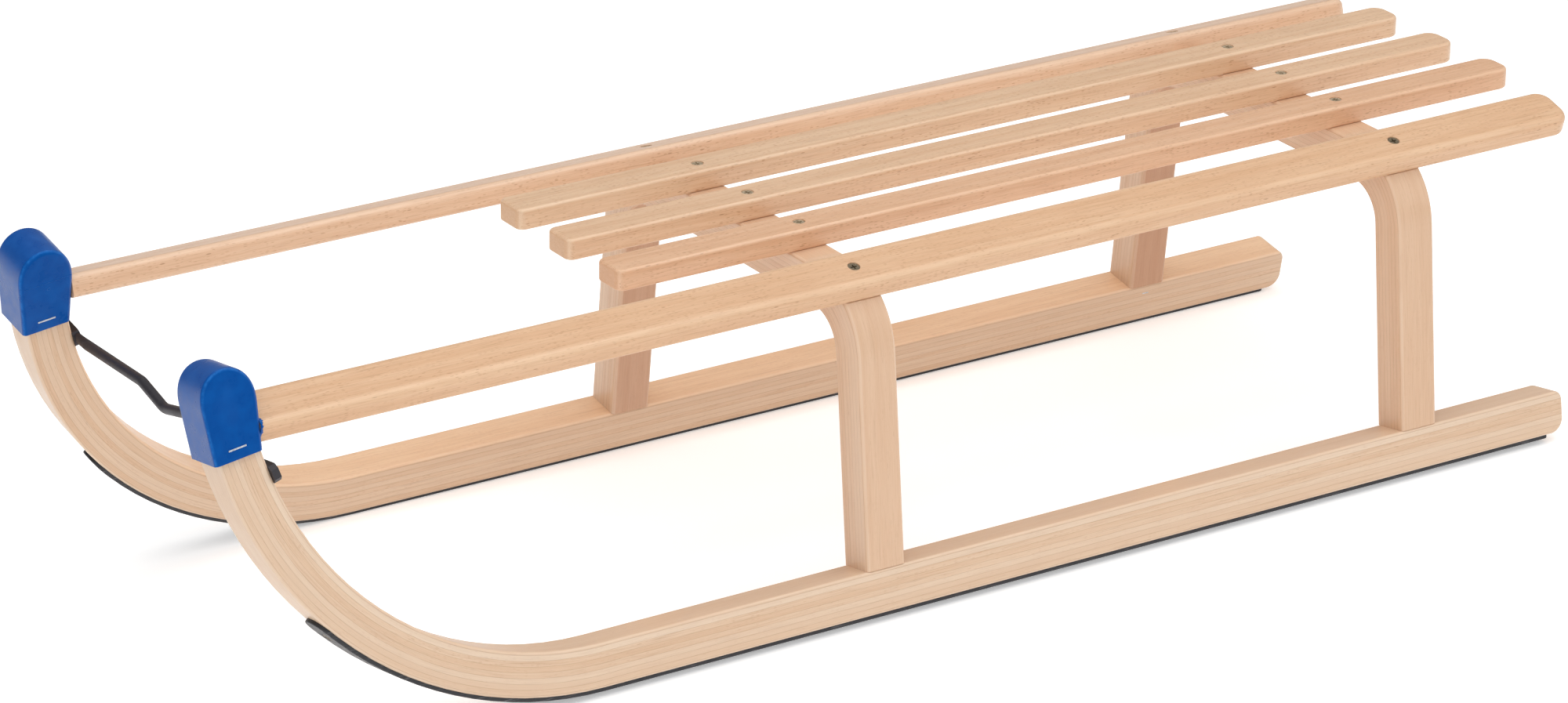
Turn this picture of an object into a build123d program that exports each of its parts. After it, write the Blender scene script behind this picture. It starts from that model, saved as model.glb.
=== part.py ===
from build123d import *

import os
from math import acos, cos, degrees, hypot, radians, sin, tan

# A beech toboggan with bent runners. Millimetres. +X points forward to the curved tips, +Y to
# the sled's left, +Z up. The origin is on the ground, below the middle of the bounding box.

# Bows (the two inverted U frames that carry the seat)
rear_bow_x = -359.16
bow_spacing = 408.0
bow_xs = (rear_bow_x, rear_bow_x + bow_spacing)
bow_width = 27.6
bow_depth = 26.0
bow_top_z = 209.8
bow_shoulder_radius = 50.0
bow_edge_radius = 2.8
leg_splay = 6.2
leg_foot_outer_y = 158.7
tenon_length = 15.0
tenon_width = 13.0
tenon_depth = 17.0

# Runners (each lies in one plane that leans inwards towards its tip)
runner_roll = 10.0
runner_y = 151.7
runner_width = 25.6
runner_depth = 27.5
runner_rear_x = rear_bow_x - 116.6
runner_edge_radius = 2.2
runner_rear_top_radius = 6.0
runner_rear_bottom_radius = 10.0
bend_start_x = rear_bow_x + 609.0
bend_radius_low = 244.5
bend_turn_low = 45.0
bend_radius_high = 240.0
bend_turn_high = 82.4
tip_straight = 20.0
tip_radius = 11.0

# Steel shoes
shoe_width = 22.0
shoe_depth = 2.5
shoe_edge_radius = 0.9
shoe_rear_x = runner_rear_x + 12.0
shoe_front_turn = 48.6
shoe_tongue_radius = 9.0
shoe_screw_xs = (
    runner_rear_x + 30.0,
    rear_bow_x + 136.0,
    rear_bow_x + 272.0,
    rear_bow_x + 545.0,
)
shoe_screw_turn = 44.8

# Seat slats
slat_pitch = 57.0
slat_width = 26.0
slat_depth = 13.4
slat_rear_x = rear_bow_x - 133.8
slat_front_x = rear_bow_x + 543.6
slat_rear_corner = 9.0
slat_front_corner = 5.5
slat_top_radius = 2.4
slat_bottom_radius = 1.4

# Side rails (rolled outwards on flat seats milled in the bows' shoulders)
rail_roll = 16.0
rail_width = 32.4
rail_depth = 14.0
rail_inner_y = 101.4
rail_inner_z = 219.2
rail_rear_corner = 11.0
rail_outer_radius = 5.0
rail_edge_radius = 2.2
tongue_width = runner_width - 0.5

# Plastic tip caps
cap_width = 31.4
cap_wall = 2.6
cap_rear_x = rear_bow_x + 816.8
cap_bottom = 189.4
cap_top = 245.0
cap_arch_start = 222.0
cap_edge_radius = 2.6
rail_clearance = 0.25

# Staples through the caps' lower edges
staple_length = 11.5
staple_wire = 1.0
staple_thickness = 0.7
staple_leg = 7.5
staple_x = rear_bow_x + 833.0
staple_height = 197.8

# Small sunk staples that pin the rear legs' tenons from the inner side
pin_length = 5.0
pin_height = runner_depth - 4.0

# Pull bar
bar_radius = 3.2
bar_height = 177.2
tab_length = 29.0
tab_height = 10.8
tab_depth = 4.4
tab_chamfer = 2.4
tab_corner = 3.0
bar_end_y = 97.0
bar_end_z = 174.3
dip_half_width = 28.0
dip_shoulder_z = 176.3
dip_z = 169.3
dip_bend_radius = 16.0

# Screws: head diameter, shank diameter, length
seat_screw_size = (7.6, 4.2, 34.0)
shoe_screw_size = (7.4, 3.8, 22.0)
bar_screw_size = (7.4, 4.2, 26.0)
tip_screw_size = (8.8, 4.4, 56.0)
screw_sink = 0.4
head_rim = 0.45

sin_roll = sin(radians(runner_roll))
cos_roll = cos(radians(runner_roll))
sin_splay = sin(radians(leg_splay))
cos_splay = cos(radians(leg_splay))
sin_rail = sin(radians(rail_roll))
cos_rail = cos(radians(rail_roll))

# The shoe rests on its rounded inner lower edge, which sets the height of its middle.
shoe_middle_z = (shoe_width / 2 - shoe_edge_radius) * sin_roll + shoe_edge_radius * (1 - cos_roll)
runner_top = shoe_depth + runner_depth
low_centre = (bend_start_x, bend_radius_low)
high_centre = (
    bend_start_x + (bend_radius_low - bend_radius_high) * sin(radians(bend_turn_low)),
    bend_radius_low - (bend_radius_low - bend_radius_high) * cos(radians(bend_turn_low)),
)
tip_lean = 90.0 - bend_turn_high


def runner_point(x, height, across=0.0):
    """Point of the left runner's plane: height runs up the leaning plane, across outwards."""
    y = runner_y - height * sin_roll + across * cos_roll
    z = shoe_middle_z + height * cos_roll + across * sin_roll
    return (x, y, z)


def bend_point(turn, lift):
    """Point (x, height) on the front bend, lift above the shoe's underside."""
    if turn <= bend_turn_low:
        centre, radius = low_centre, bend_radius_low - lift
    else:
        centre, radius = high_centre, bend_radius_high - lift
    angle = radians(turn)
    return (centre[0] + radius * sin(angle), centre[1] - radius * cos(angle))


def tip_point(along, lift):
    """Point (x, height) on the straight tip, along it from the end of the bend."""
    start = bend_point(bend_turn_high, lift)
    angle = radians(tip_lean)
    return (start[0] + along * sin(angle), start[1] + along * cos(angle))


def bend_lift(point):
    """Distance of a point from the shoe's underside, measured in the runner's plane."""
    x = point.X
    height = (point.Y - runner_y) * -sin_roll + (point.Z - shoe_middle_z) * cos_roll
    if x <= bend_start_x:
        return height
    if x <= bend_point(bend_turn_low, 0)[0]:
        return bend_radius_low - hypot(x - low_centre[0], height - low_centre[1])
    return bend_radius_high - hypot(x - high_centre[0], height - high_centre[1])


runner_plane = Plane(
    origin=runner_point(0, 0), x_dir=(1, 0, 0), z_dir=(0, -cos_roll, -sin_roll)
)
runner_outward = Vector(0, cos_roll, sin_roll)


def rail_point(x, across, drop):
    """Point of the left rail: across its top face from the inner edge, drop below that face."""
    y = rail_inner_y + across * cos_rail - drop * sin_rail
    z = rail_inner_z - across * sin_rail - drop * cos_rail
    return (x, y, z)


def screw(size):
    """Countersunk wood screw with a cross recess; the head's top is at the origin, tip down."""
    head, shank, length = size
    neck = head_rim + (head - shank) / 2
    with BuildPart() as piece:
        with BuildSketch(Plane.XZ):
            with BuildLine():
                Polyline(
                    (0, 0),
                    (head / 2, 0),
                    (head / 2, -head_rim),
                    (shank / 2, -neck),
                    (shank / 2, -length + 5),
                    (0.4, -length),
                    (0, -length),
                    close=True,
                )
            make_face()
        revolve(axis=Axis.Z)
        with BuildSketch(Plane.XY):
            Rectangle(head * 0.56, 1.1)
            Rectangle(1.1, head * 0.56)
        extrude(amount=-head * 0.22, taper=8, mode=Mode.SUBTRACT)
        chamfer(piece.edges().filter_by(GeomType.CIRCLE).sort_by(Axis.Z)[-1], 0.2)
    return piece.part


def screw_hole(size, sink=screw_sink):
    """Hole that the screw fills, with a countersink mouth of the given sink above its head."""
    head, shank, length = size
    neck = head_rim + (head - shank) / 2
    with BuildPart() as piece:
        with BuildSketch(Plane.XZ):
            with BuildLine():
                Polyline(
                    (0, sink + 3),
                    (head / 2 + 0.15, sink + 3),
                    (head / 2 + 0.15, 0),
                    (head / 2, -head_rim),
                    (shank / 2, -neck),
                    (shank / 2, -length + 5),
                    (0.4, -length),
                    (0, -length),
                    close=True,
                )
            make_face()
        revolve(axis=Axis.Z)
    return piece.part


def staple(length):
    """Wire staple: crown along X, thickness along Z, legs down."""
    with BuildPart() as piece:
        with BuildSketch(Plane.XZ):
            Rectangle(length, staple_thickness, align=(Align.CENTER, Align.MAX))
            with Locations(
                (-(length - staple_thickness) / 2, 0), ((length - staple_thickness) / 2, 0)
            ):
                Rectangle(staple_thickness, staple_leg, align=(Align.CENTER, Align.MAX))
        extrude(amount=staple_wire / 2, both=True)
        fillet(piece.faces().sort_by(Axis.Z)[-1].edges(), 0.25)
    return piece.part


# Where the feet of the legs stand on the runners
top_middle = runner_point(0, runner_top)


def runner_top_z(y):
    return top_middle[2] + (y - top_middle[1]) * tan(radians(runner_roll))


def leg_foot(inset):
    """Foot point (y, z) of the line that runs inset inside the leg's outer face."""
    start_y = leg_foot_outer_y - inset / cos_splay
    start_z = runner_top_z(leg_foot_outer_y)
    slope = tan(radians(runner_roll))
    rise = (runner_top_z(start_y) - start_z) / (1 + slope * tan(radians(leg_splay)))
    return (start_y - rise * tan(radians(leg_splay)), start_z + rise)


shoulder_z = bow_top_z - bow_shoulder_radius
foot_outer = leg_foot(0)
foot_inner = leg_foot(bow_depth)
leg_line = foot_outer[0] * cos_splay + foot_outer[1] * sin_splay
shoulder_y = (leg_line - bow_shoulder_radius - shoulder_z * sin_splay) / cos_splay


def mirrored(plane):
    """The plane on the other side of the sled."""
    return Plane(
        origin=(plane.origin.X, -plane.origin.Y, plane.origin.Z),
        x_dir=(plane.x_dir.X, -plane.x_dir.Y, plane.x_dir.Z),
        z_dir=(plane.z_dir.X, -plane.z_dir.Y, plane.z_dir.Z),
    )


def shoulder_point(angle, radius):
    """Point (y, z) on the bow's shoulder, angle from straight up."""
    return (
        shoulder_y + radius * sin(radians(angle)),
        shoulder_z + radius * cos(radians(angle)),
    )


def tenon(x):
    """Tenon below the left leg of the bow at x."""
    foot_y = (foot_outer[0] + foot_inner[0]) / 2
    foot_z = (foot_outer[1] + foot_inner[1]) / 2
    with BuildPart() as piece:
        with BuildSketch(
            Plane(origin=(x, foot_y, foot_z), x_dir=(1, 0, 0), z_dir=(0, -sin_splay, cos_splay))
        ):
            RectangleRounded(tenon_length, tenon_width, 2.5)
        extrude(amount=-tenon_depth)
        extrude(piece.faces().sort_by(Axis.Z)[-1], amount=4)
    return piece.part


# Screw places: planes whose z direction points out of the head
seat_screw_planes = [
    Plane(origin=(x, y, bow_top_z + slat_depth - screw_sink))
    for x in bow_xs
    for y in (-slat_pitch, 0, slat_pitch)
]
rail_screw_planes = [
    Plane(
        origin=rail_point(x, rail_width / 2, screw_sink),
        x_dir=(1, 0, 0),
        z_dir=(0, sin_rail, cos_rail),
    )
    for x in bow_xs
]
shoe_screw_planes = [
    Plane(origin=runner_point(x, 0.15), x_dir=(1, 0, 0), z_dir=(0, sin_roll, -cos_roll))
    for x in shoe_screw_xs
]
shoe_turn = radians(shoe_screw_turn)
shoe_screw_planes.append(
    Plane(
        origin=runner_point(*bend_point(shoe_screw_turn, 0.15)),
        x_dir=(cos(shoe_turn), -sin(shoe_turn) * sin_roll, sin(shoe_turn) * cos_roll),
        z_dir=(sin(shoe_turn), cos(shoe_turn) * sin_roll, -cos(shoe_turn) * cos_roll),
    )
)
tab_turn = degrees(acos((high_centre[1] - bar_height) / (bend_radius_high - runner_top)))
tab_normal = Vector(
    -sin(radians(tab_turn)),
    -cos(radians(tab_turn)) * sin_roll,
    cos(radians(tab_turn)) * cos_roll,
)
tab_point = runner_point(*bend_point(tab_turn, runner_top), 0.8)
tab_plane = Plane(origin=tab_point, x_dir=runner_outward, z_dir=tab_normal)
bar_screw_plane = tab_plane.offset(tab_depth - 0.2)
rail_middle = rail_point(0, rail_width / 2, rail_depth / 2)
rail_height = (rail_middle[2] - shoe_middle_z) / cos_roll
tip_front_x = tip_point((rail_height - bend_point(bend_turn_high, 0)[1]) / cos(radians(tip_lean)),
                        shoe_depth)[0]
tip_screw_plane = Plane(
    origin=(tip_front_x - 0.6, rail_middle[1], rail_middle[2]), x_dir=(0, 1, 0), z_dir=(1, 0, 0)
)
staple_planes = [
    Plane(
        origin=runner_point(staple_x, staple_height, side * (cap_width / 2 + 0.4)),
        x_dir=(-cos(radians(tip_lean)), -sin(radians(tip_lean)) * sin_roll,
               sin(radians(tip_lean)) * cos_roll),
        z_dir=(0, side * cos_roll, side * sin_roll),
    )
    for side in (-1, 1)
]

pin_plane = Plane(
    origin=runner_point(rear_bow_x, pin_height, -runner_width / 2 - 0.1),
    x_dir=(1, 0, 0),
    z_dir=(0, -cos_roll, -sin_roll),
)

seat_screw = screw(seat_screw_size)
seat_hole = screw_hole(seat_screw_size)
shoe_screw = screw(shoe_screw_size)
shoe_hole = screw_hole(shoe_screw_size, 0.15)
bar_screw = screw(bar_screw_size)
bar_hole = screw_hole(bar_screw_size, 0.2)
tip_screw = screw(tip_screw_size)
tip_hole = screw_hole(tip_screw_size, 0.6)
cap_staple = staple(staple_length)
pin_staple = staple(pin_length)

# Left runner: laminated strip, straight, then bent up in front in two sweeps to a straight tip
with BuildPart() as runner_left:
    with BuildSketch(runner_plane) as outline:
        with BuildLine():
            Line((runner_rear_x, shoe_depth), bend_point(0, shoe_depth))
            ThreePointArc(*[bend_point(bend_turn_low * k / 2, shoe_depth) for k in (0, 1, 2)])
            ThreePointArc(
                bend_point(bend_turn_low, shoe_depth),
                bend_point((bend_turn_low + bend_turn_high) / 2, shoe_depth),
                bend_point(bend_turn_high, shoe_depth),
            )
            Polyline(
                bend_point(bend_turn_high, shoe_depth),
                tip_point(tip_straight, shoe_depth),
                tip_point(tip_straight, runner_top),
                bend_point(bend_turn_high, runner_top),
            )
            ThreePointArc(
                bend_point(bend_turn_high, runner_top),
                bend_point((bend_turn_low + bend_turn_high) / 2, runner_top),
                bend_point(bend_turn_low, runner_top),
            )
            ThreePointArc(*[bend_point(bend_turn_low * k / 2, runner_top) for k in (2, 1, 0)])
            Polyline(
                bend_point(0, runner_top),
                (runner_rear_x, runner_top),
                (runner_rear_x, shoe_depth),
            )
        make_face()
        fillet(outline.vertices().sort_by(Axis.Y)[-2:], tip_radius)
        rear_corners = outline.vertices().group_by(Axis.X)[0].sort_by(Axis.Y)
        fillet(rear_corners[-1], runner_rear_top_radius)
        rear_corners = outline.vertices().group_by(Axis.X)[0].sort_by(Axis.Y)
        fillet(rear_corners[0], runner_rear_bottom_radius)
    extrude(amount=runner_width / 2, both=True)
    sides = runner_left.faces().filter_by(runner_plane)
    fillet(sides.edges(), runner_edge_radius)
    for x in bow_xs:
        add(tenon(x), mode=Mode.SUBTRACT)
    with Locations(*shoe_screw_planes):
        add(shoe_hole, mode=Mode.SUBTRACT)
    with Locations(bar_screw_plane):
        add(bar_hole, mode=Mode.SUBTRACT)
    with Locations(tip_screw_plane):
        add(tip_hole, mode=Mode.SUBTRACT)
    with Locations(*staple_planes):
        add(cap_staple, mode=Mode.SUBTRACT)
    with Locations(pin_plane):
        add(pin_staple, mode=Mode.SUBTRACT)


with BuildPart() as runner_right:
    mirror(runner_left.part, about=Plane.XZ)

# Left shoe: flat steel strip bent to the runner's underside, with a rounded tongue in front
with BuildPart() as shoe_left:
    with BuildSketch(runner_plane):
        with BuildLine():
            Line((shoe_rear_x, 0), bend_point(0, 0))
            ThreePointArc(*[bend_point(bend_turn_low * k / 2, 0) for k in (0, 1, 2)])
            ThreePointArc(
                bend_point(bend_turn_low, 0),
                bend_point((bend_turn_low + shoe_front_turn) / 2 + 0.001, 0),
                bend_point(shoe_front_turn, 0),
            )
            Line(bend_point(shoe_front_turn, 0), bend_point(shoe_front_turn, shoe_depth))
            ThreePointArc(
                bend_point(shoe_front_turn, shoe_depth),
                bend_point((bend_turn_low + shoe_front_turn) / 2 + 0.001, shoe_depth),
                bend_point(bend_turn_low, shoe_depth),
            )
            ThreePointArc(*[bend_point(bend_turn_low * k / 2, shoe_depth) for k in (2, 1, 0)])
            Polyline(bend_point(0, shoe_depth), (shoe_rear_x, shoe_depth), (shoe_rear_x, 0))
        make_face()
    extrude(amount=shoe_width / 2, both=True)
    tongue = shoe_left.faces().sort_by(Axis.Z)[-1]
    short_edges = [
        edge for edge in tongue.edges() if abs(edge.length - shoe_depth) < 0.01
    ]
    fillet(short_edges, shoe_tongue_radius)
    heel = shoe_left.faces().sort_by(Axis.X)[0]
    fillet([edge for edge in heel.edges() if abs(edge.length - shoe_depth) < 0.01], 2.5)
    seams = (bend_start_x, bend_point(bend_turn_low, 0)[0])
    rim = [
        edge
        for edge in shoe_left.edges()
        if abs(bend_lift(edge @ 0.5)) < 0.03
        and min(abs((edge @ 0.5).X - seam) for seam in seams) > 0.1
    ]
    fillet(rim, shoe_edge_radius)
    with Locations(*shoe_screw_planes):
        add(shoe_hole, mode=Mode.SUBTRACT)

with BuildPart() as shoe_right:
    mirror(shoe_left.part, about=Plane.XZ)

with BuildPart() as shoe_screws:
    with Locations(*shoe_screw_planes):
        add(shoe_screw)
    mirror(about=Plane.XZ)


def bow(x):
    """Laminated bow: level across the top, bent through both shoulders, legs splayed outwards."""
    inner_radius = bow_shoulder_radius - bow_depth
    turn = 90 - leg_splay
    with BuildPart() as piece:
        with BuildSketch(Plane.YZ.offset(x)):
            with BuildLine():
                Line((0, bow_top_z - bow_depth), shoulder_point(0, inner_radius))
                ThreePointArc(*[shoulder_point(turn * k / 2, inner_radius) for k in (0, 1, 2)])
                Polyline(
                    shoulder_point(turn, inner_radius),
                    foot_inner,
                    foot_outer,
                    shoulder_point(turn, bow_shoulder_radius),
                )
                ThreePointArc(
                    *[shoulder_point(turn * k / 2, bow_shoulder_radius) for k in (2, 1, 0)]
                )
                Polyline(
                    shoulder_point(0, bow_shoulder_radius),
                    (0, bow_top_z),
                    (0, bow_top_z - bow_depth),
                )
            make_face()
            mirror(about=Plane.YZ)
        extrude(amount=bow_width / 2, both=True)
        flanks = piece.faces().filter_by(Axis.X)
        long_edges = [edge for edge in flanks.edges() if edge.center().Z > foot_outer[1] + 2]
        fillet(long_edges, bow_edge_radius)
        add(tenon(x))
        mirror(tenon(x), about=Plane.XZ)
        for side in (1, -1):
            seat = rail_point(x, rail_width / 2, rail_depth)
            with BuildSketch(
                Plane(
                    origin=(seat[0], side * seat[1], seat[2]),
                    x_dir=(1, 0, 0),
                    z_dir=(0, side * sin_rail, cos_rail),
                )
            ):
                Rectangle(bow_width + 10, 90)
            extrude(amount=40, mode=Mode.SUBTRACT)
        for plane in seat_screw_planes:
            if abs(plane.origin.X - x) < 1:
                with Locations(plane):
                    add(seat_hole, mode=Mode.SUBTRACT)
        for plane in rail_screw_planes:
            if abs(plane.origin.X - x) < 1:
                with Locations(plane):
                    add(seat_hole, mode=Mode.SUBTRACT)
                with Locations(mirrored(plane)):
                    add(seat_hole, mode=Mode.SUBTRACT)
        if x == rear_bow_x:
            with Locations(pin_plane, mirrored(pin_plane)):
                add(pin_staple, mode=Mode.SUBTRACT)
    return piece.part


with BuildPart() as bow_rear:
    add(bow(bow_xs[0]))

with BuildPart() as bow_front:
    add(bow(bow_xs[1]))

with BuildPart() as tenon_staples:
    with Locations(pin_plane):
        add(pin_staple)
    mirror(about=Plane.XZ)

# Left rail: rolled plank, butted against the back of the runner's tip
with BuildPart() as rail_left:
    with BuildSketch(
        Plane(origin=rail_point(0, 0, 0), x_dir=(1, 0, 0), z_dir=(0, sin_rail, cos_rail))
    ) as outline:
        with BuildLine():
            Polyline(
                (slat_rear_x, 0),
                (cap_rear_x + 14, 0),
                (cap_rear_x + 14, rail_width),
                (slat_rear_x, rail_width),
                close=True,
            )
        make_face()
        fillet(outline.vertices().group_by(Axis.X)[0], rail_rear_corner)
    extrude(amount=-rail_depth)
    long_edges = rail_left.edges().filter_by(Axis.X).sort_by(Axis.Z)
    outer_top = long_edges.sort_by(Axis.Y)[-1]
    fillet(outer_top, rail_outer_radius)
    long_edges = rail_left.edges().filter_by(Axis.X)
    sharp = long_edges.group_by(Axis.Y)[0] + long_edges.group_by(Axis.Z)[0]
    sharp = sharp + long_edges.group_by(Axis.Z)[-1]
    fillet(sharp, rail_edge_radius)
    with BuildSketch(runner_plane):
        with BuildLine():
            ThreePointArc(
                bend_point(60, runner_top),
                bend_point((60 + bend_turn_high) / 2, runner_top),
                bend_point(bend_turn_high, runner_top),
            )
            Polyline(
                bend_point(bend_turn_high, runner_top),
                tip_point(60, runner_top),
                (tip_point(60, runner_top)[0] + 80, bend_point(60, runner_top)[1]),
                bend_point(60, runner_top),
            )
        make_face()
    extrude(amount=60, both=True, mode=Mode.SUBTRACT)
    with BuildSketch(
        Plane(
            origin=runner_point(cap_rear_x - 0.2, rail_height),
            x_dir=runner_outward,
            z_dir=(1, 0, 0),
        )
    ):
        with Locations((-tongue_width / 2 - 10, 0), (tongue_width / 2 + 10, 0)):
            Rectangle(20, 60)
    extrude(amount=60, mode=Mode.SUBTRACT)
    with Locations(*rail_screw_planes):
        add(seat_hole, mode=Mode.SUBTRACT)
    with Locations(tip_screw_plane):
        add(tip_hole, mode=Mode.SUBTRACT)

with BuildPart() as rail_right:
    mirror(rail_left.part, about=Plane.XZ)


def slat(y):
    """Seat slat, rounded in plan at both ends, with broken edges."""
    with BuildPart() as piece:
        with BuildSketch(Plane.XY.offset(bow_top_z)) as outline:
            with BuildLine():
                Polyline(
                    (slat_rear_x, y - slat_width / 2),
                    (slat_front_x, y - slat_width / 2),
                    (slat_front_x, y + slat_width / 2),
                    (slat_rear_x, y + slat_width / 2),
                    close=True,
                )
            make_face()
            fillet(outline.vertices().group_by(Axis.X)[0], slat_rear_corner)
            fillet(outline.vertices().group_by(Axis.X)[-1], slat_front_corner)
        extrude(amount=slat_depth)
        fillet(piece.faces().sort_by(Axis.Z)[-1].edges(), slat_top_radius)
        fillet(piece.faces().sort_by(Axis.Z)[0].edges(), slat_bottom_radius)
        for plane in seat_screw_planes:
            if abs(plane.origin.Y - y) < 1:
                with Locations(plane):
                    add(seat_hole, mode=Mode.SUBTRACT)
    return piece.part


with BuildPart() as slat_left:
    add(slat(slat_pitch))

with BuildPart() as slat_centre:
    add(slat(0))

with BuildPart() as slat_right:
    add(slat(-slat_pitch))

with BuildPart() as seat_screws:
    with Locations(*seat_screw_planes):
        add(seat_screw)
    with Locations(*rail_screw_planes):
        add(seat_screw)
    with Locations(*[mirrored(plane) for plane in rail_screw_planes]):
        add(seat_screw)


def cap_outline(wall):
    """Side outline of the cap's outside (wall 0) or of its cavity (wall inside that)."""
    lean = radians(tip_lean)
    lift = shoe_depth - cap_wall + wall
    front = bend_point(bend_turn_high, lift)
    rear_x = cap_rear_x + wall
    low = tip_point((cap_bottom - front[1]) / cos(lean), lift)
    high = tip_point((cap_arch_start - front[1]) / cos(lean), lift)
    arch = (cap_top - wall - cap_arch_start) / 0.75
    with BuildSketch(runner_plane) as outline:
        with BuildLine():
            Line(low, high)
            Bezier(
                high,
                (high[0] + arch * sin(lean), high[1] + arch * cos(lean)),
                (rear_x, cap_arch_start + arch),
                (rear_x, cap_arch_start),
            )
            Polyline(
                (rear_x, cap_arch_start),
                (rear_x, low[1] + (low[0] - rear_x) * tan(lean)),
                low,
            )
        make_face()
    return outline.sketch


# Opening in the back of the left cap: the rail's section and all below it, as wide as the cavity
with BuildPart() as rail_slot:
    with BuildSketch(
        Plane(
            origin=rail_point(cap_rear_x - 5, rail_width / 2, rail_depth / 2),
            x_dir=(0, cos_rail, -sin_rail),
            z_dir=(1, 0, 0),
        )
    ):
        RectangleRounded(
            rail_width + 2 * rail_clearance, rail_depth + 2 * rail_clearance, rail_edge_radius
        )
    extrude(amount=5 + cap_wall + 3)
    with BuildSketch(runner_plane):
        with Locations((cap_rear_x, cap_bottom + 5)):
            Rectangle(60, 100)
    extrude(amount=runner_width / 2, both=True, mode=Mode.INTERSECT)
    with Locations(
        Plane(
            origin=runner_point(cap_rear_x, cap_bottom + 1),
            x_dir=(1, 0, 0),
            z_dir=(0, -sin_roll, cos_roll),
        )
    ):
        Box(8, runner_width, 36)

# Left cap: hollow plastic hood over the runner's tip
with BuildPart() as tip_cap_left:
    extrude(cap_outline(0), amount=cap_width / 2, both=True)
    flanks = tip_cap_left.faces().filter_by(runner_plane)
    rim = [edge for edge in flanks.edges() if abs(edge.tangent_at(0.5).Z) > 0.35 or edge.length > 45]
    fillet(rim, cap_edge_radius)
    extrude(cap_outline(cap_wall), amount=runner_width / 2, both=True, mode=Mode.SUBTRACT)
    add(rail_slot.part, mode=Mode.SUBTRACT)
    with Locations(*staple_planes):
        add(cap_staple, mode=Mode.SUBTRACT)

with BuildPart() as tip_cap_right:
    mirror(tip_cap_left.part, about=Plane.XZ)

with BuildPart() as cap_staples:
    with Locations(*staple_planes):
        add(cap_staple)
    mirror(about=Plane.XZ)

with BuildPart() as tip_screws:
    with Locations(tip_screw_plane):
        add(tip_screw)
    mirror(about=Plane.XZ)

# Pull bar: round steel rod with a shallow dip in the middle and flattened, screwed ends
bar_x = runner_point(*bend_point(tab_turn, runner_top + bar_radius - 0.2))[0]
with BuildPart() as pull_bar:
    with BuildLine(Plane.YZ.offset(bar_x)) as bar_path:
        FilletPolyline(
            (bar_end_y, bar_end_z),
            (dip_half_width, dip_shoulder_z),
            (0, dip_z),
            (-dip_half_width, dip_shoulder_z),
            (-bar_end_y, bar_end_z),
            radius=dip_bend_radius,
        )
    rod_end = Plane(origin=bar_path.line @ 0, x_dir=tab_normal, z_dir=bar_path.line % 0)
    with BuildSketch(rod_end):
        Circle(bar_radius)
    sweep(path=bar_path.line)
    with BuildSketch(tab_plane.offset(-0.3)) as outline:
        Rectangle(tab_length, tab_height)
        chamfer(outline.vertices().group_by(Axis.X)[-1], tab_chamfer)
        fillet(outline.vertices().group_by(Axis.X)[0], tab_corner)
    extrude(amount=tab_depth + 0.3)
    with BuildSketch(
        Plane(
            origin=tab_plane.from_local_coords((-tab_length / 2 + 4, 0, tab_depth / 2)),
            x_dir=tab_normal,
            z_dir=-runner_outward,
        )
    ):
        RectangleRounded(tab_depth - 0.6, tab_height - 2.5, 1.5)
    with BuildSketch(rod_end):
        Circle(bar_radius)
    loft()
    mirror(about=Plane.XZ)
    add(runner_left.part, mode=Mode.SUBTRACT)
    add(runner_right.part, mode=Mode.SUBTRACT)
    with Locations(bar_screw_plane, mirrored(bar_screw_plane)):
        add(bar_hole, mode=Mode.SUBTRACT)

with BuildPart() as bar_screws:
    with Locations(bar_screw_plane):
        add(bar_screw)
    mirror(about=Plane.XZ)

pieces = {
    "runner_left": runner_left,
    "runner_right": runner_right,
    "shoe_left": shoe_left,
    "shoe_right": shoe_right,
    "shoe_screws": shoe_screws,
    "bow_front": bow_front,
    "bow_rear": bow_rear,
    "tenon_staples": tenon_staples,
    "rail_left": rail_left,
    "rail_right": rail_right,
    "slat_left": slat_left,
    "slat_centre": slat_centre,
    "slat_right": slat_right,
    "seat_screws": seat_screws,
    "tip_cap_left": tip_cap_left,
    "tip_cap_right": tip_cap_right,
    "cap_staples": cap_staples,
    "tip_screws": tip_screws,
    "pull_bar": pull_bar,
    "bar_screws": bar_screws,
}
os.makedirs("parts", exist_ok=True)
for label, piece in pieces.items():
    piece.part.label = label
    export_step(piece.part, f"parts/{label}.step")
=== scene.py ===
import math
import random

import bpy
import bmesh
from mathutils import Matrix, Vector, noise


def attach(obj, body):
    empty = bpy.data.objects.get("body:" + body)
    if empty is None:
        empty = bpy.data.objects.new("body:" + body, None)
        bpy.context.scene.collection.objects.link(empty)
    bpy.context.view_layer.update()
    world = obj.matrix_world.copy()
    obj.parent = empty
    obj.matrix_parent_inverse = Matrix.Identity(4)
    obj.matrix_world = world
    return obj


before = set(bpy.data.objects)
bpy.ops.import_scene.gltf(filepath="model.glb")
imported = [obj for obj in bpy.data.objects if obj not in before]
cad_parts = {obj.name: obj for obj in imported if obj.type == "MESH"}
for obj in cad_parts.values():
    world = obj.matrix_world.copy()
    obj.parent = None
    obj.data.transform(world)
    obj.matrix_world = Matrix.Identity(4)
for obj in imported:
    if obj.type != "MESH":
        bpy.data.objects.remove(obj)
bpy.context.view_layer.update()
scene = bpy.context.scene

# Driving sizes of the sled, in metres and radians, as its runners and bows were bent
REAR_BOW_X = -0.35916
FRONT_BOW_X = 0.04884
RUNNER_ROLL = math.radians(10)
RUNNER_Y = 0.1517
RUNNER_Z = 0.001768
BEND_START_X = 0.24984
BEND_LOW = 0.2445
BEND_HIGH = 0.240
BEND_MEET = math.radians(45)
BEND_END = math.radians(82.4)
SHOULDER_Y = 0.09468
SHOULDER_Z = 0.1598
SHOULDER_RADIUS = 0.050
SHOULDER_END = math.radians(83.8)
RAIL_ROLL = math.radians(16)

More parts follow.
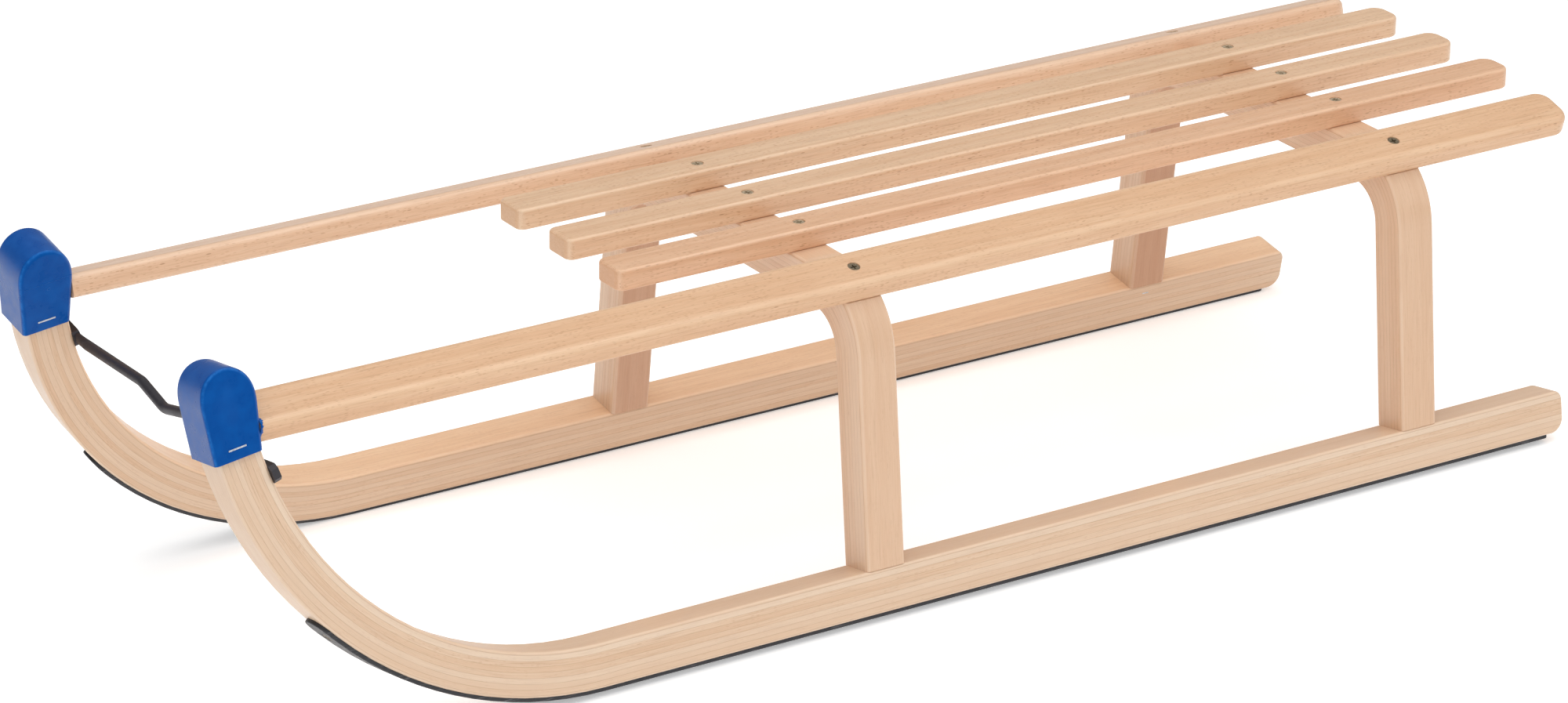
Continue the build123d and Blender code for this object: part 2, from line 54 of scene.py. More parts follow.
# Veneers: the sheets' thickness, and a shift that keeps glue lines off the outer and inner faces
RUNNER_VENEER = 0.00344
RUNNER_VENEER_SHIFT = -0.00078
# height where the runner's top face begins; above it a painted light brightens the wood
RUNNER_TOP_DEPTH = 0.0294
BOW_VENEER = 0.00325
BOW_VENEER_SHIFT = 0.001625
# depth where the bow's inner face begins; past it a painted shade darkens the wood
BOW_INNER_DEPTH = 0.0252
LEG_GRAIN_OFFSET = 0.7  # between a bow's two legs, so that their grain differs


# ---------------------------------------------------------------- node helpers
class Graph:
    """A material's node tree, with short calls for the nodes used here."""

    def __init__(self, name):
        self.material = bpy.data.materials.new(name)
        self.material.use_nodes = True
        self.tree = self.material.node_tree
        self.tree.nodes.clear()
        self.output = self.tree.nodes.new("ShaderNodeOutputMaterial")
        self.surface = self.tree.nodes.new("ShaderNodeBsdfPrincipled")
        self.tree.links.new(self.surface.outputs[0], self.output.inputs[0])

    def put(self, socket, value):
        if isinstance(value, bpy.types.NodeSocket):
            self.tree.links.new(value, socket)
        else:
            socket.default_value = value

    def math(self, operation, a, b=0.0, c=None, clamp=False):
        node = self.tree.nodes.new("ShaderNodeMath")
        node.operation = operation
        node.use_clamp = clamp
        self.put(node.inputs[0], a)
        self.put(node.inputs[1], b)
        if c is not None:
            self.put(node.inputs[2], c)
        return node.outputs[0]

    def add(self, a, b):
        return self.math("ADD", a, b)

    def sub(self, a, b):
        return self.math("SUBTRACT", a, b)

    def mul(self, a, b):
        return self.math("MULTIPLY", a, b)

    def clamp(self, value, low, high):
        return self.math("MINIMUM", self.math("MAXIMUM", value, low), high)

    def ramp(self, value, low, high, to_low=0.0, to_high=1.0):
        """A smooth step from to_low to to_high while the value goes from low to high."""
        node = self.tree.nodes.new("ShaderNodeMapRange")
        node.interpolation_type = "SMOOTHSTEP"
        self.put(node.inputs["Value"], value)
        self.put(node.inputs["From Min"], low)
        self.put(node.inputs["From Max"], high)
        self.put(node.inputs["To Min"], to_low)
        self.put(node.inputs["To Max"], to_high)
        return node.outputs[0]

    def vector(self, x, y, z):
        node = self.tree.nodes.new("ShaderNodeCombineXYZ")
        self.put(node.inputs[0], x)
        self.put(node.inputs[1], y)
        self.put(node.inputs[2], z)
        return node.outputs[0]

    def split(self, vector):
        node = self.tree.nodes.new("ShaderNodeSeparateXYZ")
        self.put(node.inputs[0], vector)
        return node.outputs[0], node.outputs[1], node.outputs[2]

    def position(self):
        node = self.tree.nodes.new("ShaderNodeTexCoord")
        return node.outputs["Object"]

    def normal(self):
        node = self.tree.nodes.new("ShaderNodeTexCoord")
        return node.outputs["Normal"]

    def noise(self, vector, scale=1.0, detail=3.0, rough=0.55, distortion=0.0):
        node = self.tree.nodes.new("ShaderNodeTexNoise")
        self.put(node.inputs["Vector"], vector)
        self.put(node.inputs["Scale"], scale)
        self.put(node.inputs["Detail"], detail)
        self.put(node.inputs["Roughness"], rough)
        self.put(node.inputs["Distortion"], distortion)
        return node.outputs["Fac"]

    def cells(self, vector):
        """Distance from the middle of the nearest random cell, and that cell's random colour."""
        node = self.tree.nodes.new("ShaderNodeTexVoronoi")
        self.put(node.inputs["Vector"], vector)
        self.put(node.inputs["Scale"], 1.0)
        return node.outputs["Distance"], node.outputs["Color"]

    def white(self, vector):
        node = self.tree.nodes.new("ShaderNodeTexWhiteNoise")
        node.noise_dimensions = "3D"
        self.put(node.inputs["Vector"], vector)
        return node.outputs["Value"]

    def colour_mix(self, factor, a, b, mode="MIX"):
        node = self.tree.nodes.new("ShaderNodeMix")
        node.data_type = "RGBA"
        node.blend_type = mode
        self.put(node.inputs[0], factor)
        self.put(node.inputs[6], a)
        self.put(node.inputs[7], b)
        return node.outputs[2]

    def bump(self, height, strength, distance):
        node = self.tree.nodes.new("ShaderNodeBump")
        self.put(node.inputs["Strength"], strength)
        self.put(node.inputs["Distance"], distance)
        self.put(node.inputs["Height"], height)
        return node.outputs[0]

    def set(self, **values):
        """Plain values on the shader's own sockets, named with underscores for spaces."""
        for name, value in values.items():
            self.surface.inputs[name.replace("_", " ")].default_value = value


# ---------------------------------------------------------------- grain directions
# Each gives the place along the grain, up through the piece and across it, then the surface
# normal's part along the grain (for end grain) and across it (for rounded edges).
def straight_grain(g):
    """Grain along X in a level slat."""
    x, y, z = g.split(g.position())
    nx, ny, _ = g.split(g.normal())
    return x, z, y, nx, ny


def rail_grain(g, side):
    """Grain along X in the rolled rail."""
    x, y, z = g.split(g.position())
    nx, ny, nz = g.split(g.normal())
    y = g.mul(y, side)
    v = g.add(g.mul(y, math.sin(RAIL_ROLL)), g.mul(z, math.cos(RAIL_ROLL)))
    w = g.sub(g.mul(y, math.cos(RAIL_ROLL)), g.mul(z, math.sin(RAIL_ROLL)))
    n_w = g.sub(g.mul(g.mul(ny, side), math.cos(RAIL_ROLL)), g.mul(nz, math.sin(RAIL_ROLL)))
    return x, v, w, nx, n_w


def bent(g, dx, dz, radius, low, high, start):
    """Coordinates along and across a strip bent about a centre.

    dx is the way from the centre along the strip's straight part, dz the way towards that part.
    The angle is 0 there and is held between low and high; the length along it begins with start.
    """
    angle = g.clamp(g.math("ARCTAN2", dx, dz), low, high)
    sine, cosine = g.math("SINE", angle), g.math("COSINE", angle)
    along = g.sub(g.mul(dx, cosine), g.mul(dz, sine))
    out = g.add(g.mul(dx, sine), g.mul(dz, cosine))
    u = g.add(g.add(g.mul(g.sub(angle, low), radius), along), start)
    return u, g.sub(radius, out), sine, cosine


def runner_grain(g, side):
    """Grain that follows the runner round its bend: v is the height above the shoe's underside."""
    x, y, z = g.split(g.position())
    nx, ny, nz = g.split(g.normal())
    y = g.sub(g.mul(y, side), RUNNER_Y)
    z = g.sub(z, RUNNER_Z)
    up = g.sub(g.mul(z, math.cos(RUNNER_ROLL)), g.mul(y, math.sin(RUNNER_ROLL)))
    w = g.add(g.mul(z, math.sin(RUNNER_ROLL)), g.mul(y, math.cos(RUNNER_ROLL)))
    n_up = g.sub(g.mul(nz, math.cos(RUNNER_ROLL)), g.mul(g.mul(ny, side), math.sin(RUNNER_ROLL)))
    dx = g.sub(x, BEND_START_X)
    dz = g.sub(BEND_LOW, up)
    u1, v1, s1, c1 = bent(g, dx, dz, BEND_LOW, 0.0, BEND_MEET, 0.0)
    step = (BEND_LOW - BEND_HIGH) * math.sin(BEND_MEET)
    dx2 = g.sub(dx, step)
    dz2 = g.sub(dz, step)
    u2, v2, s2, c2 = bent(g, dx2, dz2, BEND_HIGH, BEND_MEET, BEND_END, BEND_LOW * BEND_MEET)
    high = g.math("GREATER_THAN", dx, dz)
    low = g.sub(1.0, high)
    u = g.add(g.mul(u1, low), g.mul(u2, high))
    v = g.add(g.mul(v1, low), g.mul(v2, high))
    sine = g.add(g.mul(s1, low), g.mul(s2, high))
    cosine = g.add(g.mul(c1, low), g.mul(c2, high))
    end = g.add(g.mul(nx, cosine), g.mul(n_up, sine))
    n_w = g.add(g.mul(nz, math.sin(RUNNER_ROLL)), g.mul(g.mul(ny, side), math.cos(RUNNER_ROLL)))
    return u, v, w, end, n_w


def bow_grain(g, x0):
    """Grain that follows the bow over its shoulders: v is the depth below the outer face."""
    x, y, z = g.split(g.position())
    nx, ny, nz = g.split(g.normal())
    away = g.math("ABSOLUTE", y)
    u, v, sine, cosine = bent(
        g, g.sub(away, SHOULDER_Y), g.sub(z, SHOULDER_Z),
        SHOULDER_RADIUS, 0.0, SHOULDER_END, 0.0,
    )
    side = g.math("SIGN", y)
    end = g.sub(g.mul(g.mul(ny, side), cosine), g.mul(nz, sine))
    u = g.add(u, g.mul(side, LEG_GRAIN_OFFSET))
    return u, v, g.sub(x, x0), end, nx


# ---------------------------------------------------------------- materials
PALE_BEECH = (0.800, 0.575, 0.400)
WARM_BEECH = (0.700, 0.445, 0.275)
BROWN_PORES = (0.42, 0.215, 0.11)
LIGHT_VENEER = (0.86, 0.70, 0.55)
GLUE_LINE = (0.47, 0.27, 0.15)
# paler colour of a painted highlight along the wood's rounded edges
PAINTED_EDGE_HIGHLIGHT = (0.93, 0.75, 0.58)
FLECK = (0.50, 0.255, 0.13, 1)
BOLD_FLECK = (0.36, 0.165, 0.075, 1)


def tinted(colour, tint):
    return tuple(part * share for part, share in zip(colour, tint)) + (1,)


def beech(name, grain, seed, tint, ply=0.0, ply_shift=0.0, flecks=1.0, painted_face_tint=None):
    """Steamed beech under a satin clear lacquer, solid or laminated from bent veneers.

    ply is a veneer's thickness, ply_shift moves the glue lines, flecks scales the ray flecks, and
    the last argument gives a depth and a tint that paints light or shade on the face past that
    depth.
    """
    g = Graph(name)
    u, v, w, end, n_w = grain(g)
    rnd = random.Random(seed)
    du, dv, dw = (rnd.uniform(0, 9) for _ in range(3))
    u, vs, ws = g.add(u, du), g.add(v, dv), g.add(w, dw)

    def stretched(along, through, across=None):
        """The same place, stretched for a texture: cells per metre in each direction."""
        return g.vector(g.mul(u, along), g.mul(vs, through), g.mul(ws, across or through))

    pale = tinted(PALE_BEECH, tint)
    warm = tinted(WARM_BEECH, tint)
    brown = tinted(BROWN_PORES, tint)

    # slow figure of the growth rings, broken up along the grain
    wander = g.noise(stretched(2.2, 9), 1.0, 2.0)
    rings = g.noise(
        g.vector(g.mul(u, 3.2), g.add(g.mul(vs, 210), g.mul(wander, 6)),
                 g.add(g.mul(ws, 210), g.mul(wander, 4))),
        1.0, 4.0, 0.6)
    colour = g.colour_mix(g.ramp(rings, 0.34, 0.70, 0.0, 0.62), pale, warm)
    cloud = g.noise(stretched(9, 30), 1.0, 3.0)
    colour = g.colour_mix(g.mul(g.ramp(cloud, 0.4, 0.75), 0.25), colour, warm)

    # fine fibres, and longer pore lines
    fibre = g.noise(stretched(55, 2300), 1.0, 3.0, 0.6)
    colour = g.colour_mix(g.ramp(fibre, 0.45, 0.8, 0.0, 0.40), colour, brown)
    pore = g.noise(stretched(24, 900), 1.0, 2.0, 0.5)
    colour = g.colour_mix(g.ramp(pore, 0.58, 0.74, 0.0, 0.26), colour, brown)

    # short ray flecks, denser in patches
    distance, tone = g.cells(stretched(230, 1050))
    chosen = g.math("GREATER_THAN", g.split(tone)[0], 0.52)
    fleck = g.mul(g.ramp(distance, 0.18, 0.40, 1.0, 0.0), chosen)
    patch = g.ramp(g.noise(stretched(25, 90), 1.0, 2.0), 0.36, 0.62)
    fleck = g.mul(fleck, g.add(g.mul(patch, 0.6), 0.4))
    fleck_strength = 0.62 * flecks
    colour = g.colour_mix(g.mul(fleck, fleck_strength), colour, FLECK)

    # a few bold flecks
    distance, tone = g.cells(stretched(95, 520))
    chosen = g.math("GREATER_THAN", g.split(tone)[1], 0.93)
    bold = g.mul(g.ramp(distance, 0.10, 0.22, 1.0, 0.0), chosen)
    colour = g.colour_mix(g.mul(bold, fleck_strength), colour, BOLD_FLECK)

    height = g.sub(g.mul(fibre, 0.5), g.mul(fleck, 0.35))
    if ply:
        # sheets of different tone, with an uneven thin glue line between them
        level = g.math("DIVIDE", g.add(v, ply_shift), ply)
        waver = g.noise(g.vector(g.mul(u, 7), 0.0, seed), 1.0, 2.0)
        level = g.add(level, g.mul(g.sub(waver, 0.5), 0.25))
        sheet = g.math("FLOOR", level)
        tone = g.white(g.vector(sheet, seed, 0.5))
        hue = g.white(g.vector(sheet, seed, 8.5))
        colour = g.colour_mix(g.mul(tone, 0.48), colour, tinted(LIGHT_VENEER, tint))
        colour = g.colour_mix(g.mul(hue, 0.42), colour, warm)
        gap = g.math("ABSOLUTE", g.sub(g.math("FRACT", level), 0.5))
        joint = g.ramp(gap, 0.435, 0.485)
        streak = g.noise(g.vector(g.mul(u, 30), sheet, seed), 1.0, 2.0)
        joint = g.mul(joint, g.ramp(streak, 0.3, 0.6, 0.35, 1.0))
        colour = g.colour_mix(g.mul(joint, 0.55), colour, tinted(GLUE_LINE, tint))
        height = g.sub(height, g.mul(joint, 0.9))
    # painted light and painted shade: past the given depth the colour is multiplied by a tint
    if painted_face_tint:
        depth, shade = painted_face_tint
        painted_face_mask = g.ramp(v, depth - 0.0008, depth)
        colour = g.colour_mix(painted_face_mask, colour, (*shade, 1), "MULTIPLY")

    # rounded edges: a painted highlight, a paler colour along them, broken up by noise
    across = g.math("ABSOLUTE", n_w)
    edge = g.mul(g.ramp(across, 0.12, 0.45), g.ramp(across, 0.72, 0.97, 1.0, 0.0))
    wear_and_highlight_noise = g.noise(stretched(14, 60), 1.0, 3.0)
    edge = g.mul(edge, g.ramp(wear_and_highlight_noise, 0.25, 0.6, 0.08, 0.36))
    colour = g.colour_mix(edge, colour, tinted(PAINTED_EDGE_HIGHLIGHT, tint))

    # end grain: darker, with pores and rings
    is_end = g.ramp(g.math("ABSOLUTE", end), 0.72, 0.93)
    distance, _ = g.cells(stretched(400, 4200))
    pores = g.ramp(distance, 0.1, 0.42, 1.0, 0.0)
    radial = g.noise(g.vector(g.mul(vs, 900), g.mul(ws, 260), seed), 1.0, 2.0)
    end_colour = g.colour_mix(g.mul(pores, 0.5), warm, brown)
    end_colour = g.colour_mix(g.ramp(radial, 0.4, 0.7, 0.0, 0.3), end_colour, pale)
    colour = g.colour_mix(g.mul(is_end, 0.8), colour, end_colour)

    wear = g.noise(stretched(45, 110), 1.0, 4.0)
    rough = g.add(g.ramp(wear, 0.3, 0.7, 0.36, 0.50), g.mul(is_end, 0.15))
    g.put(g.surface.inputs["Base Color"], colour)
    g.put(g.surface.inputs["Roughness"], rough)
    g.put(g.surface.inputs["Normal"], g.bump(height, 0.35, 0.00012))
    g.set(Specular_IOR_Level=0.42, Coat_Weight=0.34, Coat_Roughness=0.22,
          Subsurface_Weight=0.04, Subsurface_Radius=(0.004, 0.002, 0.001))
    return g.material


def steel_strip():
    """Dark rolled strip with lengthwise scratches and faint brown spots."""
    g = Graph("shoe_steel")
    p = g.position()
    x, y, z = g.split(p)
    scale_marks = g.noise(g.vector(g.mul(x, 60), g.mul(y, 900), g.mul(z, 900)), 1.0, 4.0)
    spots = g.noise(p, 420, 3.0)
    scratch = g.ramp(scale_marks, 0.56, 0.68)
    dark_scale, bare_steel = (0.055, 0.055, 0.06, 1), (0.20, 0.20, 0.21, 1)
    brown_spot = (0.12, 0.10, 0.09, 1)
    colour = g.colour_mix(g.mul(scratch, 0.5), dark_scale, bare_steel)
    colour = g.colour_mix(g.ramp(spots, 0.6, 0.75, 0.0, 0.35), colour, brown_spot)
    g.put(g.surface.inputs["Base Color"], colour)
    g.put(g.surface.inputs["Roughness"], g.ramp(spots, 0.3, 0.7, 0.34, 0.52))
    g.put(g.surface.inputs["Normal"], g.bump(g.add(scale_marks, spots), 0.3, 0.00008))
    g.set(Metallic=0.65)
    return g.material


def cap_plastic():
    """Blue moulded plastic with the faint mottling and flow marks of a thick moulding."""
    g = Graph("cap_plastic")
    p = g.position()
    mottle = g.noise(p, 120, 2.0, 0.5)
    flow = g.noise(p, 38, 2.0, 0.5, 0.6)
    deep_blue, blue = (0.0008, 0.070, 0.315, 1), (0.0012, 0.088, 0.365, 1)
    # the blue of the flow marks, and the paler blue of a painted highlight on the rounded edges
    flow_blue, painted_highlight_blue = (0.03, 0.13, 0.42, 1), (0.022, 0.185, 0.58, 1)
    colour = g.colour_mix(g.ramp(mottle, 0.35, 0.7, 0.0, 0.8), deep_blue, blue)
    colour = g.colour_mix(g.ramp(flow, 0.55, 0.75, 0.0, 0.10), colour, flow_blue)

    # rounded edges: a painted highlight of paler blue along them, broken up by noise
    across = g.math("ABSOLUTE", g.split(g.normal())[1])
    edge = g.mul(g.ramp(across, 0.22, 0.60), g.ramp(across, 0.70, 0.96, 1.0, 0.0))
    highlight_breakup = g.noise(p, 300, 4.0, 0.7)
    edge = g.mul(edge, g.ramp(highlight_breakup, 0.35, 0.65, 0.15, 0.62))
    colour = g.colour_mix(edge, colour, painted_highlight_blue)

    g.put(g.surface.inputs["Base Color"], colour)
    g.put(g.surface.inputs["Roughness"], g.ramp(mottle, 0.3, 0.7, 0.26, 0.40))
    g.put(g.surface.inputs["Normal"], g.bump(g.add(flow, g.mul(mottle, 0.25)), 0.12, 0.0006))

    # the moulded skin is dull when seen straight on and shines towards grazing angles
    facing = g.tree.nodes.new("ShaderNodeLayerWeight")
    facing.inputs["Blend"].default_value = 0.5
    g.put(g.surface.inputs["Specular IOR Level"],
          g.ramp(facing.outputs["Facing"], 0.12, 0.60, 0.06, 0.55))
    return g.material


def bar_steel():
    """Dark grey satin coating on the pull bar, slightly orange-peeled, rubbed paler in patches."""
    g = Graph("bar_steel")
    p = g.position()
    peel = g.noise(p, 900, 2.0)
    wear_and_highlight_noise = g.noise(p, 160, 4.0, 0.65)
    coating, rubbed = (0.040, 0.036, 0.043, 1), (0.10, 0.095, 0.10, 1)
    colour = g.colour_mix(g.ramp(wear_and_highlight_noise, 0.55, 0.75, 0.0, 0.5), coating, rubbed)
    g.put(g.surface.inputs["Base Color"], colour)
    g.put(g.surface.inputs["Roughness"], g.ramp(wear_and_highlight_noise, 0.3, 0.7, 0.36, 0.5))
    g.put(g.surface.inputs["Normal"], g.bump(peel, 0.35, 0.0001))
    g.set(Metallic=0.25)
    return g.material


def zinc(name, colour_low, colour_high, metal, browned_from=None):
    """Plated fastener: cloudy plating and fine turning marks.

    browned_from is the place across the sled from which the plating has turned brown.
    """
    g = Graph(name)
    p = g.position()
    cloud = g.noise(p, 700, 3.0)
    fine = g.noise(p, 5200, 2.0)
    colour = g.colour_mix(g.ramp(cloud, 0.35, 0.65), colour_low, colour_high)
    if browned_from is not None:
        browned = g.ramp(g.split(p)[1], browned_from, browned_from + 0.01, 0.0, 0.75)
        colour = g.colour_mix(browned, colour, (0.11, 0.08, 0.045, 1))
    g.put(g.surface.inputs["Base Color"], colour)
    g.put(g.surface.inputs["Roughness"], g.ramp(fine, 0.3, 0.7, 0.32, 0.5))
    g.put(g.surface.inputs["Normal"], g.bump(fine, 0.3, 0.00005))
    g.set(Metallic=metal)
    return g.material


def runner_wood(label, side, seed, tint, flecks, painted_top_light):
    # the runner's top face gets a painted light, a brighter tint
    return beech(f"beech_runner_{label}", lambda g: runner_grain(g, side), seed, tint,
                 RUNNER_VENEER, RUNNER_VENEER_SHIFT, flecks, (RUNNER_TOP_DEPTH, painted_top_light))


def bow_wood(label, x0, seed, tint):
    # the bow's inner face gets a painted shade, a darker tint
    return beech(f"beech_bow_{label}", lambda g: bow_grain(g, x0), seed, tint,
                 BOW_VENEER, BOW_VENEER_SHIFT, 0.35, (BOW_INNER_DEPTH, (0.81, 0.68, 0.62)))


def rail_wood(label, side, seed, tint):
    return beech(f"beech_rail_{label}", lambda g: rail_grain(g, side), seed, tint)


def slat_wood(label, seed, tint):
    return beech(f"beech_slat_{label}", straight_grain, seed, tint)


wood = {
    # each runner's last tint is a painted light on its top face
    "runner_left": runner_wood("left", 1, 11, (0.98, 1.01, 1.03), 0.45, (1.06, 1.05, 1.04)),
    "runner_right": runner_wood("right", -1, 12, (0.97, 0.98, 0.98), 0.5, (1.28, 1.24, 1.18)),
    "bow_front": bow_wood("front", FRONT_BOW_X, 13, (0.965, 0.935, 0.915)),
    "bow_rear": bow_wood("rear", REAR_BOW_X, 14, (0.950, 0.915, 0.890)),
    "rail_left": rail_wood("left", 1, 15, (0.97, 0.88, 0.78)),
    "rail_right": rail_wood("right", -1, 16, (1.01, 0.95, 0.92)),
    "slat_left": slat_wood("left", 17, (1.01, 0.89, 0.81)),
    "slat_centre": slat_wood("centre", 18, (1.0, 0.95, 0.89)),
    "slat_right": slat_wood("right", 19, (1.0, 0.97, 0.92)),
}
cap_material = cap_plastic()
shoe_material = steel_strip()
screw_material = zinc("zinc_screws", (0.36, 0.27, 0.17, 1), (0.66, 0.54, 0.38, 1), 0.40,
                      browned_from=0.09)
staple_material = zinc("staple_wire", (0.50, 0.52, 0.56, 1), (0.72, 0.74, 0.78, 1), 0.6)
materials = {
    **wood,
    "shoe_left": shoe_material,
    "shoe_right": shoe_material,
    "tip_cap_left": cap_material,
    "tip_cap_right": cap_material,
    "pull_bar": bar_steel(),
    "seat_screws": screw_material,
    "shoe_screws": screw_material,
    "tip_screws": screw_material,
    "bar_screws": screw_material,
    "cap_staples": staple_material,
    "tenon_staples": staple_material,
}
for name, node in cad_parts.items():
    node.data.materials.clear()
    node.data.materials.append(materials[name])


# ---------------------------------------------------------------- moulding marks on the tip caps
CAP_REAR_X = 0.45764
CAP_FRONT_X = 0.49200
CAP_HALF_WIDTH = 0.0157
CAP_LEAN = math.radians(7.6)
PARTING_HEIGHT = 0.2212
RAIL_INNER_Y = 0.1014
RAIL_INNER_Z = 0.2192
BITE = 0.0001  # by which an added piece sinks into the plastic or wood that it sits on


def tip_place(x, height, across, side):
    """Point in the plane of a runner: height up the leaning plane, across to the outside."""
    y = RUNNER_Y - height * math.sin(RUNNER_ROLL) + across * math.cos(RUNNER_ROLL)
    z = RUNNER_Z + height * math.cos(RUNNER_ROLL) + across * math.sin(RUNNER_ROLL)
    return Vector((x, side * y, z))


def rail_place(x, across, drop, side):
    """Point of a rail's section: across from its inner edge, drop below its top face."""
    y = RAIL_INNER_Y + across * math.cos(RAIL_ROLL) - drop * math.sin(RAIL_ROLL)
    z = RAIL_INNER_Z - across * math.sin(RAIL_ROLL) - drop * math.cos(RAIL_ROLL)
    return Vector((x, side * y, z))


def tube(name, rings, material):
    """A closed piece through rings of equal length, riding on the sled."""
    mesh = bpy.data.meshes.new(name)
    count = len(rings[0])
    faces = [tuple(range(count))[::-1],
             tuple(range((len(rings) - 1) * count, len(rings) * count))]
    for i in range(len(rings) - 1):
        for j in range(count):
            k = (j + 1) % count
            faces.append((i * count + j, i * count + k, (i + 1) * count + k, (i + 1) * count + j))
    mesh.from_pydata([point for ring in rings for point in ring], [], faces)
    bm = bmesh.new()
    bm.from_mesh(mesh)
    bmesh.ops.recalc_face_normals(bm, faces=bm.faces)
    bm.to_mesh(mesh)
    bm.free()
    mesh.materials.append(material)
    obj = bpy.data.objects.new(name, mesh)
    scene.collection.objects.link(obj)
    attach(obj, "root")
    return obj


def cap_height(x):
    """Height of the parting line at x: it rises towards the back, square to the leaning tip."""
    return PARTING_HEIGHT + (CAP_FRONT_X - x) * math.tan(CAP_LEAN)


def parting_line(name, side):
    """The mould's parting line: a faint bead across the cap's inner face."""
    steps = 40
    rear_margin, length = 0.0014, CAP_FRONT_X - CAP_REAR_X - 0.0036
    half_foot, half_shoulder, half_crest = 0.00034, 0.00030, 0.00012
    rings = []
    for i in range(steps + 1):
        x = CAP_REAR_X + rear_margin + length * i / steps
        height = cap_height(x) + 0.00006 * noise.noise(Vector((i * 0.7, side, 0.0)))
        proud = 0.00016 + 0.00006 * noise.noise(Vector((i * 0.9, side, 4.0)))
        profile = ((-half_foot, -BITE), (-half_shoulder, 0.00002), (-half_crest, proud),
                   (half_crest, proud), (half_shoulder, 0.00002), (half_foot, -BITE))
        rings.append([
            tip_place(x, height + across, -(CAP_HALF_WIDTH + out), side) for across, out in profile
        ])
    return tube(name, rings, cap_material)


def ejector_mark(name, side):
    """The round mark left by the mould's ejector pin, below the parting line."""
    x0 = (CAP_REAR_X + CAP_FRONT_X) / 2 - 0.001
    height0 = cap_height(x0) - 0.0044
    around = 28
    radius_and_proud = ((0.00125, -BITE), (0.00118, 0.00008), (0.00098, 0.00020),
                        (0.00070, 0.00012), (0.00030, 0.00010))
    rings = [
        [
            tip_place(x0 + radius * math.cos(a), height0 + radius * math.sin(a),
                      -(CAP_HALF_WIDTH + proud), side)
            for a in (2 * math.pi * k / around for k in range(around))
        ]
        for radius, proud in radius_and_proud
    ]
    return tube(name, rings, cap_material)


def lip_path():
    """Round the rail's section: over its top face, its outer corner and down its outer side.

    Each step is a place across the rail, a drop below its top, and the way out of the wood there.
    """
    start, end, corner = 0.006, 0.0295, 0.0028
    side_x = end + corner
    path = [(start + (end - start) * k / 46, -0.00005, (0.0, -1.0)) for k in range(47)]
    for k in range(1, 7):
        sine, cosine = math.sin(math.radians(15 * k)), math.cos(math.radians(15 * k))
        path.append((end + corner * sine, corner - corner * cosine, (sine, -cosine)))
    path += [(side_x, 0.0030 + 0.0062 * k / 12, (1.0, 0.0)) for k in range(1, 13)]
    return path


def ragged_lip(name, side):
    """The torn edge of plastic where the rail passes into the cap."""
    rnd = random.Random(40 + side)
    root_x = CAP_REAR_X + 0.0006
    reaches = (0.0003, 0.0005, 0.0008, 0.0014, 0.0019)
    path = lip_path()
    reach = 0.0006
    rings = []
    for i, (across, drop, (out_a, out_d)) in enumerate(path):
        reach += (rnd.choice(reaches) - reach) * 0.8
        fade = min(1.0, i / 6, (len(path) - 1 - i) / 5)
        tip_x = CAP_REAR_X - 0.0001 - reach * fade
        thick = 0.00035 + 0.0003 * fade
        profile = ((root_x, -BITE), (root_x, thick), ((tip_x + CAP_REAR_X) / 2, thick),
                   (tip_x, 0.00012), (tip_x, -BITE))
        rings.append([
            rail_place(x, across + out * out_a, drop + out * out_d, side) for x, out in profile
        ])
    return tube(name, rings, cap_material)


for label, side in (("left", 1), ("right", -1)):
    parting_line(f"cap_parting_line_{label}", side)
    ejector_mark(f"cap_ejector_mark_{label}", side)
    ragged_lip(f"cap_ragged_lip_{label}", side)


# ---------------------------------------------------------------- studio
def paper():
    """Matt white paper with a fine tooth."""
    g = Graph("studio_paper")
    p = g.position()
    tooth = g.noise(p, 900, 3.0)
    cloud = g.noise(p, 3, 2.0)
    g.put(g.surface.inputs["Base Color"],
          g.colour_mix(g.ramp(cloud, 0.3, 0.7), (0.90, 0.90, 0.90, 1), (0.92, 0.92, 0.92, 1)))
    g.put(g.surface.inputs["Roughness"], g.ramp(tooth, 0.3, 0.7, 0.8, 0.9))
    g.put(g.surface.inputs["Normal"], g.bump(tooth, 0.1, 0.0001))
    # the paper glows a little, and a little more on the rays that come straight to the camera
    light_path = g.tree.nodes.new("ShaderNodeLightPath")
    g.set(Emission_Color=(1, 1, 1, 1))
    g.put(g.surface.inputs["Emission Strength"],
          g.add(g.mul(light_path.outputs["Is Camera Ray"], 0.12), 0.24))
    return g.material


FLOOR_REACH = 9
corners = [(x * FLOOR_REACH, y * FLOOR_REACH, 0) for x, y in ((-1, -1), (1, -1), (1, 1), (-1, 1))]
floor_mesh = bpy.data.meshes.new("floor")
floor_mesh.from_pydata(corners, [], [(0, 1, 2, 3)])
floor_mesh.materials.append(paper())
floor = bpy.data.objects.new("floor", floor_mesh)
scene.collection.objects.link(floor)

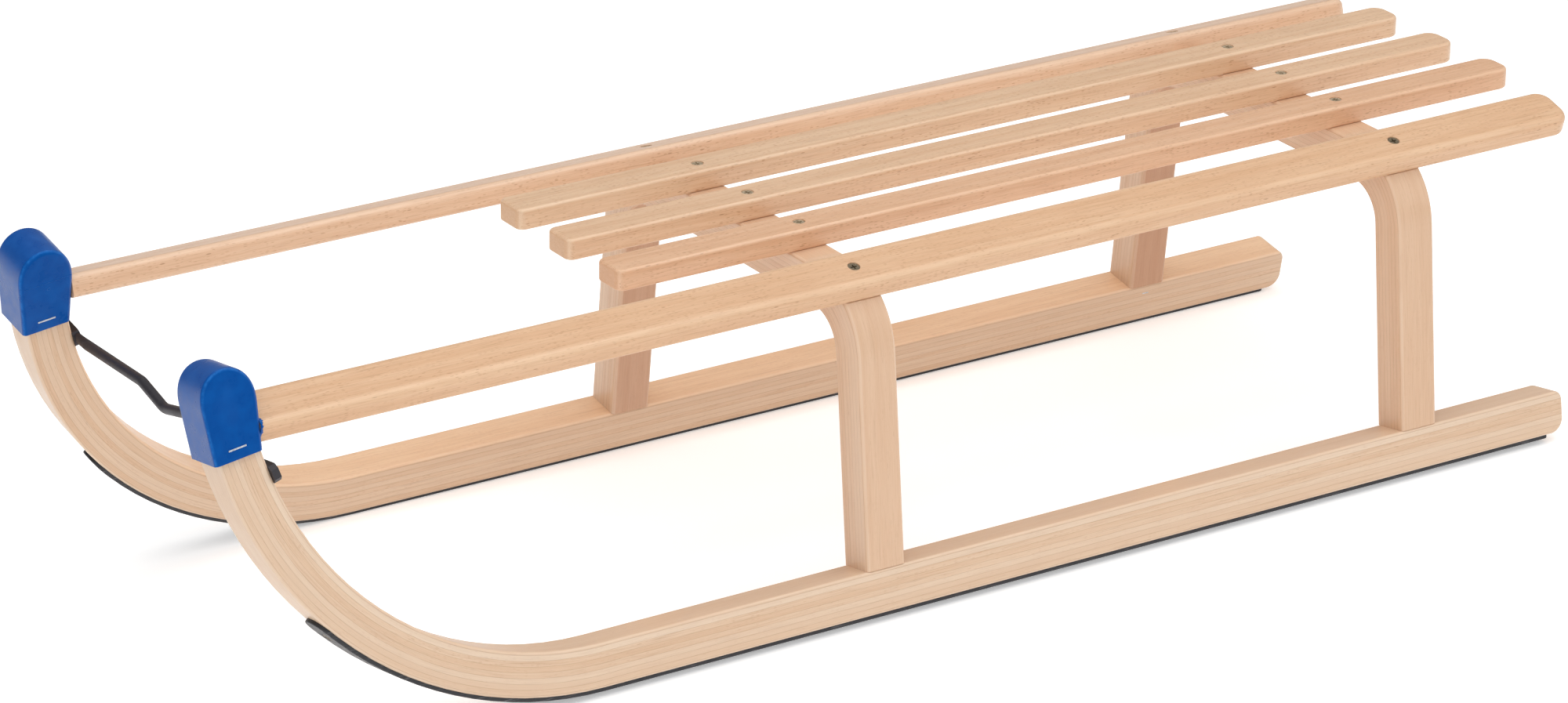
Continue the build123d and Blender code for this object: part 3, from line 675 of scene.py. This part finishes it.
# White room, dimmer in reflections so that gloss doesn't wash the colours out
ROOM_LIGHT = 0.58
ROOM_REFLECTED = 0.20
scene.world = bpy.data.worlds.new("studio")
scene.world.use_nodes = True
sky_nodes = scene.world.node_tree.nodes
sky_links = scene.world.node_tree.links
room = sky_nodes["Background"]
dim_room = sky_nodes.new("ShaderNodeBackground")
for background, strength in ((room, ROOM_LIGHT), (dim_room, ROOM_REFLECTED)):
    background.inputs["Color"].default_value = (1, 1, 1, 1)
    background.inputs["Strength"].default_value = strength
ray = sky_nodes.new("ShaderNodeLightPath")
both_rooms = sky_nodes.new("ShaderNodeMixShader")
sky_links.new(ray.outputs["Is Glossy Ray"], both_rooms.inputs["Fac"])
sky_links.new(room.outputs[0], both_rooms.inputs[1])
sky_links.new(dim_room.outputs[0], both_rooms.inputs[2])
sky_links.new(both_rooms.outputs[0], sky_nodes["World Output"].inputs["Surface"])


def softbox(name, place, target, width, height, power):
    """A rectangular area light at place, turned to target, with its power in watts."""
    light = bpy.data.lights.new(name, "AREA")
    light.shape = "RECTANGLE"
    light.size = width
    light.size_y = height
    light.energy = power
    lamp = bpy.data.objects.new(name, light)
    scene.collection.objects.link(lamp)
    lamp.location = place
    lamp.rotation_euler = (Vector(target) - Vector(place)).to_track_quat("-Z", "Y").to_euler()


softbox("top", place=(0.0, 0.3, 2.6), target=(0, 0, 0), width=3.4, height=2.8, power=40)
softbox("front_left", place=(1.9, 2.2, 1.5), target=(0, 0, 0.1), width=1.8, height=1.6, power=9)
softbox("rear_left", place=(-2.2, 1.8, 1.6), target=(0, 0, 0.1), width=1.6, height=1.6, power=8)

# Camera at the photo's angle: left of the sled's front, looking down along it
camera_data = bpy.data.cameras.new("camera")
camera_data.sensor_width = 36.0
camera_data.lens = 142.693
camera_data.clip_start = 0.1
camera_data.clip_end = 50
camera = bpy.data.objects.new("camera", camera_data)
camera.location = (1.97535, 2.95574, 1.60136)
camera.rotation_mode = "QUATERNION"
camera.rotation_quaternion = (0.2338534, 0.1634048, 0.5286823, 0.7994413)
scene.collection.objects.link(camera)
scene.camera = camera
scene.view_settings.view_transform = "Standard"
